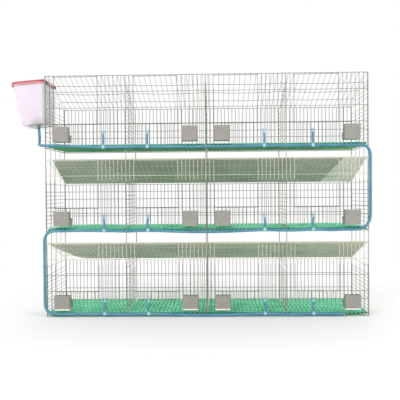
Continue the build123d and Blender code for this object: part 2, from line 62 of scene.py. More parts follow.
# Wire and mesh
mesh_wire = 3
post_wire = 5
roof_wire = 2.2
ring_wire = 1.8
upright_pitch = 25
rail_pitch = 100
weld_step = 2.9
front_rail_y = front + weld_step
back_rail_y = back - weld_step
rail_end = cage_width / 2 + 1.2
post_x = cage_width / 2 + 4.1
side_rail_x = post_x + 3.9
side_upright_x = side_rail_x - weld_step
divider_post_y = 243.05
divider_rail_shift = 3.9
divider_upright_shift = divider_rail_shift - weld_step
divider_reach = 245.5
inner_upright_ys = [-125, 0, 125]
close_levels = list(range(0, 251, 25))
high_levels = list(range(300, 425, 25))
roof_allowance = 6
wire_sides = 8
nugget_size = 1.8
merge_reach = 0.02

# Doors and feeders
door_offset = 50
door_width = 275
door_height = 300
door_sill = front_height - door_height
door_side_y = front_rail_y + 3.4
door_bar_y = door_side_y + weld_step
door_drop = 303.4
hinge_drop = 5
ring_offsets = [50, 225]
feeder_centres = [100, 400, 100, 400]
feeder_cutout = 100
feeder_bottom = 37

# The roof leans from the front top rail down to the back top rail
roof_angle = atan2(front_height - back_height, back_rail_y - front_rail_y)
roof_run = (back_rail_y - front_rail_y) / cos(roof_angle)
roof_along = Vector((0, cos(roof_angle), -sin(roof_angle)))
roof_up = Vector((0, sin(roof_angle), cos(roof_angle)))


def roof_point(floor, x, along, lift):
    """A point over the roof: along the slope from the front top rail and raised square to it."""
    start = Vector((x, front_rail_y, floor + front_height))
    return start + roof_along * along + roof_up * lift


def roof_level(y):
    """Height of the roof's rail line above the tier floor."""
    return front_height - (y - front_rail_y) * tan(roof_angle)


def slope_end(level):
    """How far back a level wire can run before it meets the underside of the roof."""
    return min(front_rail_y + (front_height - level - roof_allowance) / tan(roof_angle), back)


# Camera, at the photograph's viewing angle in a square picture
picture_size = 400
camera_place = Vector((77.41, -4266.31, 771.85)) * mm
camera_yaw, camera_pitch, camera_roll = 0.02993, -0.01696, 0.008
camera_focus = 645.01
picture_middle = (199.19, 203.73)
sensor = 36

camera_data = bpy.data.cameras.new("camera")
camera_data.sensor_width = sensor
camera_data.lens = camera_focus / picture_size * sensor
camera_data.shift_x = (picture_size / 2 - picture_middle[0]) / picture_size
camera_data.shift_y = (picture_middle[1] - picture_size / 2) / picture_size
camera = bpy.data.objects.new("camera", camera_data)
turn = (Matrix.Rotation(camera_yaw, 4, "Z") @ Matrix.Rotation(camera_pitch, 4, "X")
        @ Matrix.Rotation(camera_roll, 4, "Y") @ Matrix.Rotation(pi / 2, 4, "X"))
camera.matrix_world = Matrix.Translation(camera_place) @ turn
bpy.context.scene.collection.objects.link(camera)
bpy.context.scene.camera = camera
bpy.context.scene.view_settings.view_transform = "Standard"


# Shared shader effects
def new_group(name, inputs, outputs):
    """An empty shader group with its sockets: name, socket type and default value."""
    group = bpy.data.node_groups.new(name, "ShaderNodeTree")
    for socket_name, kind, value in inputs:
        socket = group.interface.new_socket(socket_name, in_out="INPUT", socket_type=kind)
        socket.default_value = value
    for socket_name, kind in outputs:
        group.interface.new_socket(socket_name, in_out="OUTPUT", socket_type=kind)
    entry = group.nodes.new("NodeGroupInput")
    exit_node = group.nodes.new("NodeGroupOutput")
    return group, entry, exit_node


def object_place(tree):
    """Where a shaded point is on its object, in metres."""
    return tree.nodes.new("ShaderNodeTexCoord").outputs["Object"]


def feed(tree, node, values):
    """Give a node's inputs their values, by name or number: a socket is linked, any other value is set."""
    for key, value in values.items():
        target = node.inputs[key]
        if isinstance(value, bpy.types.NodeSocket):
            tree.links.new(value, target)
        else:
            target.default_value = (*value, 1) if target.type == "RGBA" else value


def add_noise(tree, coordinates, scale, detail):
    """A noise texture on given coordinates."""
    noise = tree.nodes.new("ShaderNodeTexNoise")
    feed(tree, noise, {"Vector": coordinates, "Scale": scale, "Detail": detail})
    return noise.outputs["Fac"]


def add_range(tree, value, low, high, to_low, to_high):
    """Spread a value from one range over another, clamped."""
    node = tree.nodes.new("ShaderNodeMapRange")
    feed(tree, node, {"Value": value, "From Min": low, "From Max": high, "To Min": to_low, "To Max": to_high})
    return node.outputs["Result"]


def add_math(tree, operation, *values):
    """One sum on sockets and numbers."""
    node = tree.nodes.new("ShaderNodeMath")
    node.operation = operation
    feed(tree, node, dict(enumerate(values)))
    return node.outputs[0]


def add_vector_math(tree, operation, vector, other):
    """The distance of a place from a point, or its dot product with a direction."""
    node = tree.nodes.new("ShaderNodeVectorMath")
    node.operation = operation
    feed(tree, node, {0: vector, 1: other})
    return node.outputs["Value"]


def add_mix(tree, factor, first, second):
    """Mix two colours, each a socket or a colour."""
    node = tree.nodes.new("ShaderNodeMix")
    node.data_type = "RGBA"
    feed(tree, node, {"Factor": factor, 6: first, 7: second})
    return node.outputs[2]


def make_mottle_group():
    """Large soft patches and fine specks: two colours into one, with a matching roughness and height."""
    group, entry, leave = new_group(
        "mottle",
        [("Light", "NodeSocketColor", (1, 1, 1, 1)), ("Dark", "NodeSocketColor", (0, 0, 0, 1)),
         ("Patch Scale", "NodeSocketFloat", 8.0), ("Speck Scale", "NodeSocketFloat", 300.0),
         ("Smooth", "NodeSocketFloat", 0.3), ("Rough", "NodeSocketFloat", 0.6)],
        [("Color", "NodeSocketColor"), ("Roughness", "NodeSocketFloat"), ("Height", "NodeSocketFloat")])
    place = object_place(group)
    patches = add_noise(group, place, entry.outputs["Patch Scale"], 4)
    specks = add_noise(group, place, entry.outputs["Speck Scale"], 3)
    patch_mask = add_range(group, patches, 0.35, 0.68, 0.0, 1.0)
    blend = add_math(group, "MULTIPLY_ADD", specks, 0.35, patch_mask)
    mask = add_range(group, blend, 0.1, 1.25, 0.0, 1.0)
    colour = add_mix(group, mask, entry.outputs["Light"], entry.outputs["Dark"])
    roughness = add_range(group, mask, 0.0, 1.0, entry.outputs["Smooth"], entry.outputs["Rough"])
    feed(group, leave, {"Color": colour, "Roughness": roughness, "Height": specks})
    return group


def make_spangle_group():
    """The crystal pattern of a zinc coat, as a value from 0 to 1."""
    group, entry, leave = new_group(
        "zinc_spangle", [("Scale", "NodeSocketFloat", 120.0)], [("Value", "NodeSocketFloat")])
    crystals = group.nodes.new("ShaderNodeTexVoronoi")
    feed(group, crystals, {"Vector": object_place(group), "Scale": entry.outputs["Scale"]})
    split = group.nodes.new("ShaderNodeSeparateColor")
    feed(group, split, {"Color": crystals.outputs["Color"]})
    feed(group, leave, {"Value": split.outputs["Red"]})
    return group


mottle_group = make_mottle_group()
spangle_group = make_spangle_group()


def new_material(name):
    """A material with one Principled shader, and that shader."""
    material = bpy.data.materials.new(name)
    material.use_nodes = True
    return material, material.node_tree, material.node_tree.nodes["Principled BSDF"]


def add_bump(tree, shader, height, strength, distance):
    """Roughen a shader's surface by a height."""
    bump = tree.nodes.new("ShaderNodeBump")
    feed(tree, bump, {"Height": height, "Strength": strength, "Distance": distance})
    feed(tree, shader, {"Normal": bump.outputs["Normal"]})


def mottled_material(name, light, dark, patch_scale, speck_scale, smooth, rough, bump, metallic=0.0):
    """A finish of patches and specks between two colours, with a fine bump."""
    material, tree, shader = new_material(name)
    mottle = tree.nodes.new("ShaderNodeGroup")
    mottle.node_tree = mottle_group
    feed(tree, mottle, {"Light": light, "Dark": dark, "Patch Scale": patch_scale, "Speck Scale": speck_scale,
                        "Smooth": smooth, "Rough": rough})
    feed(tree, shader, {"Base Color": mottle.outputs["Color"], "Roughness": mottle.outputs["Roughness"],
                        "Metallic": metallic})
    add_bump(tree, shader, mottle.outputs["Height"], bump, mm)
    return material, tree, shader


def tint(tree, shader, mask, colour):
    """Lay a second colour over a finish where a mask is 1."""
    under = shader.inputs["Base Color"].links[0].from_socket
    feed(tree, shader, {"Base Color": add_mix(tree, mask, under, colour)})


def place_height(tree):
    """How high a shaded point is above the ground, in metres."""
    return add_vector_math(tree, "DOT_PRODUCT", object_place(tree), (0, 0, 1))


def tint_below(tree, shader, level, colour):
    """Lay a second colour over a finish below a level in millimetres."""
    mask = add_range(tree, place_height(tree), level * mm, (level + tint_edge) * mm, 1.0, 0.0)
    tint(tree, shader, mask, colour)


# Shared tones, light and dark, and grains: patch and speck scale, least and most roughness, bump
wire_tones = ((0.27, 0.26, 0.215), (0.17, 0.164, 0.135))
post_tones = ((0.46, 0.44, 0.39), (0.31, 0.297, 0.262))
wire_grain = (14, 420, 0.35, 0.6, 0.15)
post_grain = (9, 300, 0.35, 0.6, 0.15)
drinker_grain = (30, 600, 0.3, 0.45, 0.06)
board_grain = (3.5, 90, 0.5, 0.75, 0.25)
tint_edge = 2

wire_finish = mottled_material("galvanised_wire", *wire_tones, *wire_grain, metallic=0.4)[0]
# The back wires take a dark copy of the wire colour as painted shade
shaded_back_finish = mottled_material("back_wire_painted_shade", (0.08, 0.079, 0.073), (0.04, 0.0395, 0.037), 14, 420,
                               0.45, 0.7, 0.15, metallic=0.3)[0]
post_finish = mottled_material("galvanised_post", *post_tones, *post_grain, metallic=0.4)[0]
# Roof wires under the boards take a light copy of the wire colour as painted light
painted_light_roof_finish = mottled_material("roof_wire_painted_light", (0.84, 0.82, 0.69), (0.68, 0.66, 0.55), *wire_grain,
                               metallic=0.3)[0]
bracket_finish = mottled_material("bright_bracket_wire", (0.55, 0.545, 0.52), (0.42, 0.415, 0.39), 20, 300,
                                  0.35, 0.55, 0.12, metallic=0.3)[0]
clip_finish = mottled_material("dark_red_clip_plastic", (0.16, 0.012, 0.02), (0.08, 0.008, 0.012), 20, 400,
                               0.3, 0.5, 0.08)[0]
fitting_finish = mottled_material("grey_fitting_plastic", (0.36, 0.37, 0.37), (0.27, 0.28, 0.28), 20, 500,
                                  0.35, 0.5, 0.08)[0]
hose_finish = mottled_material("blue_hose_plastic", (0.10, 0.32, 0.42), (0.05, 0.22, 0.34), 12, 320,
                               0.25, 0.4, 0.05)[0]
tee_finish = mottled_material("pale_blue_tee_plastic", (0.46, 0.70, 0.76), (0.32, 0.55, 0.63),
                              *drinker_grain)[0]
pale_finish = mottled_material("pale_drinker_plastic", (0.38, 0.60, 0.74), (0.27, 0.48, 0.63),
                               *drinker_grain)[0]
steel_finish = mottled_material("nipple_steel", (0.55, 0.55, 0.54), (0.42, 0.42, 0.41), 40, 900,
                                0.2, 0.32, 0.04, metallic=1.0)[0]

# Green slat plastic, with painted shade on the faces turned down, a deeper green underneath
mat_finish, mat_tree, mat_shader = mottled_material(
    "green_slat_plastic", (0.24, 0.92, 0.60), (0.12, 0.68, 0.38), 7, 260, 0.5, 0.7, 0.1)
feed(mat_tree, mat_shader, {"Specular IOR Level": 0.15})
mat_facing = mat_tree.nodes.new("ShaderNodeNewGeometry").outputs["Normal"]
mat_facing = add_vector_math(mat_tree, "DOT_PRODUCT", mat_facing, (0, 0, 1))
# Painted shade: faces turned down take a deeper green
tint(mat_tree, mat_shader, add_range(mat_tree, mat_facing, -0.6, -0.1, 1.0, 0.0), (0.01, 0.70, 0.20))

# Front wires of the two lower tiers: painted light in a band near the top, lighter and greener near the floor
painted_light_from, floor_band_from = 310, 85
front_fade = 15


def front_finish(tier, floor):
    """The wire finish of one tier's front, with its band of painted light near the top and its greener band
    near the floor.
    """
    material, tree, shader = mottled_material(f"front_wire_{tier}", *wire_tones, *wire_grain, metallic=0.4)
    height = place_height(tree)
    # The upper band is painted light; the lower band is lighter, greener wire near the floor
    for start, fade, colour in ((painted_light_from, front_fade, (0.74, 0.72, 0.59)),
                                (floor_band_from, -front_fade, (0.36, 0.40, 0.31))):
        mask = add_range(tree, height, (floor + start) * mm, (floor + start + fade) * mm, 0.0, 1.0)
        tint(tree, shader, mask, colour)
    return material


front_finishes = {tier: front_finish(tier, floor) for tier, floor in zip(tiers[:-1], floors)}
front_finishes["top"] = wire_finish

# Galvanised sheet with a faint crystal pattern, and a painted highlight along the lower bend of the bottom
# feeders
sheet_tones = ((0.38, 0.362, 0.331), (0.31, 0.297, 0.271))
bend_height = 7
sheet_finish, sheet_tree, sheet_shader = mottled_material(
    "galvanised_sheet", *sheet_tones, 10, 350, 0.4, 0.6, 0.1, metallic=0.4)
spangle = sheet_tree.nodes.new("ShaderNodeGroup")
spangle.node_tree = spangle_group
feed(sheet_tree, spangle, {"Scale": 95})
zinc = add_mix(sheet_tree, spangle.outputs["Value"], sheet_tones[0], (0.328, 0.313, 0.286))
feed(sheet_tree, sheet_shader, {"Base Color": zinc})
# Painted highlight: near-white along the lower bend of the bottom feeders
tint_below(sheet_tree, sheet_shader, floors[0] + feeder_bottom + bend_height, (0.95, 0.95, 0.93))

# Divider wire, with a painted highlight along the lowest rails
divider_finish, divider_tree, divider_shader = mottled_material("divider_wire", *post_tones, *post_grain,
                                                                metallic=0.4)
# Painted highlight: pale cream along the lowest rails
tint_below(divider_tree, divider_shader, floors[0] + close_levels[1] + mesh_wire, (0.90, 0.88, 0.74))

# Manure boards: the lower one a lighter, warmer copy of the board colour as painted light; the upper one with
# painted light past a line across its right end
pale_from = (856, 780)
pale_edge = 8
board_finishes = {}
# Painted light: the lower board's whole colour is a lighter copy of the upper board's
board_finishes["bottom"] = mottled_material("lower_board_painted_light", (0.68, 0.61, 0.51), (0.53, 0.475, 0.40),
                                            *board_grain)[0]
board_finishes["middle"], board_tree, board_shader = mottled_material(
    "grey_board_plastic", (0.44, 0.45, 0.35), (0.32, 0.33, 0.255), *board_grain)
pale_slope = (pale_from[0] - pale_from[1]) / cage_depth
pale_place = add_vector_math(board_tree, "DOT_PRODUCT", object_place(board_tree), (1, pale_slope, 0))
pale_start = sum(pale_from) / 2
board_end_light_mask = add_range(board_tree, pale_place, pale_start * mm, (pale_start + pale_edge) * mm, 0.0, 1.0)
# Painted light on the upper board's right end, past the line
tint(board_tree, board_shader, board_end_light_mask, (0.80, 0.74, 0.65))

# The tank leans out from the side of the cage
tank_turn = radians(4.8)
tank_across = Vector((cos(tank_turn), 0, sin(tank_turn)))
tank_up = Vector((-sin(tank_turn), 0, cos(tank_turn)))
tank_foot = Vector((-1028, -57, 1223))
tank_width, tank_depth, tank_height = 154, 242, 272
lid_base = tank_height + 0.2
lid_skirt, lid_thickness = 16, 4

# Red lid plastic, with painted light that makes it paler towards the thin lower edge of its skirt
pale_skirt = (12, 4)
lid_finish, lid_tree, lid_shader = mottled_material(
    "red_lid_plastic", (0.52, 0.06, 0.08), (0.36, 0.03, 0.04), 9, 240, 0.28, 0.45, 0.08)
lid_height = add_vector_math(lid_tree, "DOT_PRODUCT", object_place(lid_tree), tank_up)
lid_level = tank_foot.dot(tank_up) + lid_base
skirt_low, skirt_high = [(lid_level - drop) * mm for drop in pale_skirt]
skirt_light_mask = add_range(lid_tree, lid_height, skirt_low, skirt_high, 1.0, 0.0)
# Painted light: paler red towards the skirt's lower edge
tint(lid_tree, lid_shader, skirt_light_mask, (0.78, 0.26, 0.29))

# Milky tank plastic, with a grey patch painted near the outlet as shade on the lower corner and the fitting
# seen through the wall
grey_place = Vector((-1076, -126, 1217))
grey_reach = (35, 75)
tank_finish, tank_tree, tank_shader = mottled_material(
    "tank_plastic", (0.86, 0.78, 0.86), (0.79, 0.71, 0.79), 6, 180, 0.3, 0.45, 0.06)
feed(tank_tree, tank_shader, {"Subsurface Weight": 0.6, "Subsurface Radius": (0.05, 0.04, 0.045)})
grey_distance = add_vector_math(tank_tree, "DISTANCE", object_place(tank_tree), grey_place * mm)
outlet_shade_mask = add_range(tank_tree, grey_distance, grey_reach[0] * mm, grey_reach[1] * mm, 1.0, 0.0)
# Painted shade: a grey patch around the outlet
tint(tank_tree, tank_shader, outlet_shade_mask, (0.42, 0.39, 0.40))


# Helpers for pieces
def store(name, bm, finish, nodes=(), crease=50, body="cage"):
    """Turn a mesh drawn in millimetres into a piece that rides on a body."""
    bmesh.ops.scale(bm, vec=(mm, mm, mm), verts=bm.verts)
    mesh = bpy.data.meshes.new(name)
    bm.to_mesh(mesh)
    bm.free()
    mesh.shade_smooth()
    mesh.set_sharp_from_angle(angle=radians(crease))
    store_mesh(name, mesh, finish, nodes, body)


def store_mesh(name, data, finish, nodes=(), body="cage"):
    """Make a piece of a mesh or curve that is already in metres."""
    item = bpy.data.objects.new(name, data)
    bpy.context.scene.collection.objects.link(item)
    data.materials.append(finish)
    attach(item, body)
    if nodes:
        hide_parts(*nodes)


def wire(bm, start, end, diameter):
    """A straight round wire between two points."""
    start, end = Vector(start), Vector(end)
    run = end - start
    lie = run.to_track_quat("Z", "Y").to_matrix().to_4x4()
    bmesh.ops.create_cone(bm, cap_ends=True, segments=wire_sides, radius1=diameter / 2, radius2=diameter / 2,
                          depth=run.length, matrix=Matrix.Translation((start + end) / 2) @ lie)


def nugget(bm, place):
    """The small bead of a spot weld where two wires cross."""
    bmesh.ops.create_icosphere(bm, subdivisions=1, radius=nugget_size, matrix=Matrix.Translation(place))


def round_edges(bm, edges, radius, segments):
    """Round some edges of a mesh."""
    bmesh.ops.bevel(bm, geom=edges, offset=radius, offset_type="OFFSET", affect="EDGES", segments=segments,
                    profile=0.5, material=-1)


def block(bm, low, high, edge):
    """A box between two corners with rounded edges."""
    low, high = Vector(low), Vector(high)
    size = Matrix.Diagonal((*(high - low), 1))
    made = bmesh.ops.create_cube(bm, size=1, matrix=Matrix.Translation((low + high) / 2) @ size)
    round_edges(bm, list({e for v in made["verts"] for e in v.link_edges}), edge, 2)


def lathe(bm, outline, place, steps=20):
    """Spin an outline of (radius, height) points round the local Z axis and put it in place."""
    turned = bmesh.new()
    verts = [turned.verts.new((radius, 0, height)) for radius, height in outline]
    edges = [turned.edges.new(pair) for pair in zip(verts, verts[1:])]
    bmesh.ops.spin(turned, geom=verts + edges, axis=(0, 0, 1), cent=(0, 0, 0), angle=2 * pi, steps=steps,
                   use_merge=True)
    bmesh.ops.remove_doubles(turned, verts=turned.verts, dist=merge_reach)
    bmesh.ops.recalc_face_normals(turned, faces=turned.faces)
    bmesh.ops.transform(turned, matrix=place, verts=turned.verts)
    add_in(bm, turned)


def add_in(bm, other):
    """Add another mesh to a mesh and free it."""
    carrier = bpy.data.meshes.new("carrier")
    other.to_mesh(carrier)
    other.free()
    bm.from_mesh(carrier)
    bpy.data.meshes.remove(carrier)


# Front panels: uprights and rails cut at the doors and feeders, welded where they cross
upright_xs = [left + upright_pitch * number for number in range(cage_width // upright_pitch + 1)]


def front_span(x):
    """Lowest and highest point of the front upright at x, above its floor."""
    cell = min(int((x - left) // cell_width), cells - 1)
    offset = x - cell_lefts[cell]
    in_door = door_offset < offset < door_offset + door_width
    in_feeder = abs(offset - feeder_centres[cell]) < feeder_cutout / 2
    return (feeder_cutout if in_feeder else 0), (door_sill if in_door else front_height)


def front_rail_spans():
    """Each front rail as (x start, x end, height)."""
    spans = [(-rail_end, rail_end, level) for level in (0, feeder_cutout, door_sill, front_height)]
    edges = [-rail_end]
    for cell_left in cell_lefts:
        door_left = cell_left + door_offset
        edges += [door_left + mesh_wire / 2, door_left + door_width - mesh_wire / 2]
    edges.append(rail_end)
    for level in range(door_sill + rail_pitch, front_height, rail_pitch):
        spans += [(start, end, level) for start, end in zip(edges[0::2], edges[1::2])]
    return spans


for tier, floor in zip(tiers, floors):
    bm = bmesh.new()
    spans = front_rail_spans()
    weld_y = (front + front_rail_y) / 2
    for start, end, level in spans:
        wire(bm, (start, front_rail_y, floor + level), (end, front_rail_y, floor + level), mesh_wire)
    for x in upright_xs:
        low, high = front_span(x)
        wire(bm, (x, front, floor + low - mesh_wire / 2), (x, front, floor + high + mesh_wire / 2), mesh_wire)
        for start, end, level in spans:
            if low <= level <= high and start - mesh_wire <= x <= end + mesh_wire:
                nugget(bm, (x, weld_y, floor + level))
    store(f"front_mesh_{tier}", bm, front_finishes[tier], [f"front_panel_{tier}"])

# Back panels: full mesh, lower than the front, in the dark wire colour of painted shade
for tier, floor in zip(tiers, floors):
    bm = bmesh.new()
    levels = [floor + level for level in range(0, back_height + 1, rail_pitch)]
    for z in levels:
        wire(bm, (-rail_end, back_rail_y, z), (rail_end, back_rail_y, z), mesh_wire)
    for x in upright_xs:
        wire(bm, (x, back, levels[0] - mesh_wire / 2), (x, back, levels[-1] + mesh_wire / 2), mesh_wire)
        for z in levels:
            nugget(bm, (x, (back + back_rail_y) / 2, z))
    store(f"back_mesh_{tier}", bm, shaded_back_finish, [f"back_panel_{tier}"])

# Roof meshes: sloping wires on the top rails, and cross wires over them; the uncovered one sags a little
roof_wires = 15
roof_pitch = cell_width / roof_wires
roof_xs = [left + (number + 0.5) * roof_pitch for number in range(cells * roof_wires)]
roof_xs = [left + roof_wire / 2] + roof_xs + [-left - roof_wire / 2]
roof_shares = [0.015, 0.285, 0.52, 0.76]
roof_step = 2.5
roof_overhang = 1.3
roof_sag = {"bottom": 0, "middle": 0, "top": 7}
roof_cuts = 31


def sag_share(x, y):
    """How far the roof dips at a point, from 0 at the dividers and rails to 1 in the middle of a cell."""
    across = sin(pi * ((x - left) % cell_width) / cell_width)
    along = min(max((y - front_rail_y) / (back_rail_y - front_rail_y), 0), 1)
    return across * sin(pi * along)


for tier, floor in zip(tiers, floors):
    bm = bmesh.new()
    for share in roof_shares:
        wire(bm, roof_point(floor, -rail_end, roof_run * share, 2 * roof_step),
             roof_point(floor, rail_end, roof_run * share, 2 * roof_step), mesh_wire)
    for x in roof_xs:
        wire(bm, roof_point(floor, x, -roof_overhang, roof_step),
             roof_point(floor, x, roof_run + roof_overhang, roof_step), roof_wire)
        for share in roof_shares:
            nugget(bm, roof_point(floor, x, roof_run * share, 1.5 * roof_step))
    if roof_sag[tier]:
        long_edges = [e for e in bm.edges if e.calc_length() > cell_width / 2]
        bmesh.ops.subdivide_edges(bm, edges=long_edges, cuts=roof_cuts)
        for v in bm.verts:
            v.co.z -= roof_sag[tier] * sag_share(v.co.x, v.co.y)
    # Under the boards the roofs take the painted light finish; the top roof keeps the plain wire
    finish = wire_finish if tier == "top" else painted_light_roof_finish
    store(f"roof_mesh_{tier}_wires", bm, finish, [f"roof_mesh_{tier}"])

# Side panels: posts and uprights right up the cage, with close rails in each tier
for side, name in ((-1, "left"), (1, "right")):
    bm = bmesh.new()
    rails = [(back + post_wire / 2, floor + level)
             for floor in floors for level in close_levels + [back_height]]
    rails += [(slope_end(level), top_floor + level) for level in high_levels[1:]]
    uprights = [(post_x, front, 0, top_floor + front_height, post_wire),
                (post_x, back, 0, top_floor + back_height + post_wire / 2, post_wire)]
    uprights += [(side_upright_x, y, foot_height - mesh_wire / 2, top_floor + roof_level(y), mesh_wire)
                 for y in inner_upright_ys]
    for x, y, low, high, diameter in uprights:
        wire(bm, (side * x, y, low), (side * x, y, high), diameter)
    for end, z in rails:
        wire(bm, (side * side_rail_x, front - post_wire / 2, z), (side * side_rail_x, end, z), mesh_wire)
        for x, y, low, high, diameter in uprights:
            if y < end:
                nugget(bm, (side * (x + diameter / 2), y, z))
    store(f"side_mesh_{name}", bm, post_finish, [f"side_panel_{name}"])

# Dividers: two posts right up the cage and a close mesh inside each tier
for cell_left, name in zip(cell_lefts[1:], ("left", "middle", "right")):
    bm = bmesh.new()
    for y, height in ((-divider_post_y, front_height), (divider_post_y, back_height)):
        wire(bm, (cell_left, y, 0), (cell_left, y, top_floor + height), post_wire)
    rail_x = cell_left + divider_rail_shift
    upright_x = cell_left + divider_upright_shift
    for floor in floors:
        rails = [(divider_reach, floor + level) for level in close_levels]
        rails += [(min(slope_end(level), divider_reach), floor + level) for level in high_levels]
        for y in inner_upright_ys:
            wire(bm, (upright_x, y, floor - mesh_wire / 2),
                 (upright_x, y, floor + roof_level(y) - roof_allowance), mesh_wire)
        for end, z in rails:
            wire(bm, (rail_x, -divider_reach, z), (rail_x, end, z), mesh_wire)
            for y in (-divider_post_y, *inner_upright_ys, divider_post_y):
                if y < end:
                    nugget(bm, ((rail_x + upright_x) / 2, y, z))
    store(f"divider_mesh_{name}", bm, divider_finish, [f"divider_{name}"])

# Floor rods
rod_places = [-200, -65, 65, 200]
rod_lift = 3.9
rod_reach = side_rail_x + mesh_wire / 2
bm = bmesh.new()
for floor in floors:
    for y in rod_places:
        wire(bm, (-rod_reach, y, floor + rod_lift), (rod_reach, y, floor + rod_lift), post_wire)
store("floor_rod_wires", bm, post_finish, ["floor_rods"])

# Doors: a wire gate inside each opening
for tier, floor in zip(tiers, floors):
    rail_z = floor + front_height
    levels = [rail_z - hinge_drop, rail_z - door_drop]
    levels += [rail_z - level for level in range(rail_pitch, door_height, rail_pitch)]
    for cell, cell_left in enumerate(cell_lefts):
        sides = [cell_left + door_offset, cell_left + door_offset + door_width]
        bm = bmesh.new()
        for z in levels:
            wire(bm, (sides[0] - mesh_wire / 2, door_bar_y, z), (sides[1] + mesh_wire / 2, door_bar_y, z),
                 mesh_wire)
        for x in sides:
            wire(bm, (x, door_side_y, levels[1] - mesh_wire / 2), (x, door_side_y, levels[0] + mesh_wire / 2),
                 mesh_wire)
            for z in levels:
                nugget(bm, (x, (door_side_y + door_bar_y) / 2, z))
        node = f"door_{tier}_{cell + 1}"
        store(f"gate_{tier}_{cell + 1}", bm, front_finishes[tier], [node], body=node)


# Rings and ties: closed loops round two round things
def loop_points(first, first_radius, second, second_radius, across, steps=12):
    """Points round the hull of two circles in the plane square to the across axis."""
    first, second = Vector(first), Vector(second)
    towards = (second - first).normalized()
    sideways = Vector(across).cross(towards)
    points = []
    for step in range(steps):
        angle = 2 * pi * (step + 0.5) / steps
        out = towards * cos(angle) + sideways * sin(angle)
        points.append(second + out * second_radius if cos(angle) > 0 else first + out * first_radius)
    return points


def new_tube(name, radius, resolution=1):
    """An empty curve that shows as a round tube, in metres."""
    curve = bpy.data.curves.new(name, "CURVE")
    curve.dimensions = "3D"
    curve.bevel_depth = radius * mm
    curve.bevel_resolution = resolution
    curve.use_fill_caps = True
    return curve


def add_spline(curve, points, kind="NURBS", closed=False):
    """Add a line through or along points in millimetres to a curve."""
    spline = curve.splines.new(kind)
    spline.points.add(len(points) - 1)
    for target, point in zip(spline.points, points):
        target.co = (*(Vector(point) * mm), 1)
    spline.use_cyclic_u = closed
    if kind == "NURBS":
        spline.order_u = 3
        spline.use_endpoint_u = True
    spline.use_smooth = True


ring_curve = new_tube("wire_ring_loops", ring_wire / 2)
door_ring_r = mesh_wire / 2 + 0.1 + ring_wire / 2
for floor in floors:
    rail_z = floor + front_height
    for cell_left in cell_lefts:
        for offset in ring_offsets:
            x = cell_left + door_offset + offset
            add_spline(ring_curve, loop_points((x, front_rail_y, rail_z), door_ring_r,
                                               (x, door_bar_y, rail_z - hinge_drop), door_ring_r, (1, 0, 0)),
                       "POLY", True)
store_mesh("wire_ring_loops", ring_curve, post_finish, ["wire_rings"])

# Clinched loops that join the panels at the corners and the dividers
clinch_levels = [62.5, 212.5]
strap_r = 0.48
strap_gap = strap_r + 0.1
clinch_curve = new_tube("clinch_loops", strap_r)
joins = [((side * cage_width / 2, y), (side * post_x, y)) for side in (-1, 1) for y in (front, back)]
joins += [((x, side * cage_depth / 2), (x, side * divider_post_y))
          for x in cell_lefts[1:] for side in (-1, 1)]
for floor in floors:
    for level in clinch_levels:
        for first, second in joins:
            loop = loop_points((*first, floor + level), mesh_wire / 2 + strap_gap,
                               (*second, floor + level), post_wire / 2 + strap_gap, (0, 0, 1))
            add_spline(clinch_curve, loop, "POLY", True)
store_mesh("clinch_loops", clinch_curve, post_finish)

# Slat floors: rounded slats on cross bars, bowed up a little in their middle
mat_side_gap = 6.5
mat_end_gap = 5.5
mat_lift = 6.45
mat_thickness = 15
slot_pitch = 25
slat_width = 16
slot_rows = 5
slot_length = 62
bar_drop = 2
mat_width = cell_width - 2 * mat_side_gap
mat_depth = cage_depth - 2 * mat_end_gap
slat_count = int(mat_width // slot_pitch) + 1
row_pitch = mat_depth / slot_rows
bar_width = row_pitch - slot_length
mat_bow = {"bottom": 2, "middle": 9, "top": 3}
mat_cuts = 7
slat_edge, bar_edge = 2.5, 1.5
bar_inset = 1


def slat_mat(bm, middle, base, bow):
    """One moulded floor: slats front to back, tied by cross bars between the rows of slots."""
    top = base + mat_thickness
    reach = mat_depth / 2
    span = slot_pitch * (slat_count - 1)
    for number in range(slat_count):
        x = middle - span / 2 + slot_pitch * number
        half = slat_width / 2
        low_x = max(x - half, middle - mat_width / 2)
        high_x = min(x + half, middle + mat_width / 2)
        block(bm, (low_x, -reach, base), (high_x, reach, top), slat_edge)
    for row in range(slot_rows + 1):
        y = row_pitch * row - reach
        low_y = max(y - bar_width / 2, -reach)
        high_y = min(y + bar_width / 2, reach)
        block(bm, (middle - mat_width / 2 + bar_inset, low_y, base + bar_inset),
              (middle + mat_width / 2 - bar_inset, high_y, top - bar_drop), bar_edge)
    long_edges = [e for e in bm.edges if e.calc_length() > mat_depth / 2]
    bmesh.ops.subdivide_edges(bm, edges=long_edges, cuts=mat_cuts)
    for v in bm.verts:
        across = min(abs(v.co.x - middle) / (mat_width / 2), 1)
        along = min(abs(v.co.y) / reach, 1)
        v.co.z += bow * (1 - across * across) * (1 - along * along * along)


for tier, floor in zip(tiers, floors):
    for cell, cell_left in enumerate(cell_lefts):
        bm = bmesh.new()
        slat_mat(bm, cell_left + cell_width / 2, floor + mat_lift, mat_bow[tier])
        nodes = [f"floor_mats_{tier}"] if cell == 0 else []
        store(f"slat_mat_{tier}_{cell + 1}", bm, mat_finish, nodes, crease=40)

# Manure boards: thin sheets with a slight ripple
board_inset = 10
board_lift = 6.5
board_thickness = 2
board_length = cage_width - 4
board_width = roof_run - 2 * board_inset
curl_from = (-985, -835)
curl_bend = 0.0018
board_skew = {"bottom": 0, "middle": 31}
skew_reach = 250
board_steps = (120, 16)
ripple_height, ripple_length = 0.6, 83


def curl_height(x, along):
    """How far the lower board's left end has lifted past the line from its front edge to its back edge."""
    fold_x = curl_from[0] + (curl_from[1] - curl_from[0]) * along / roof_run
    return curl_bend * max(0, fold_x - x) ** 2


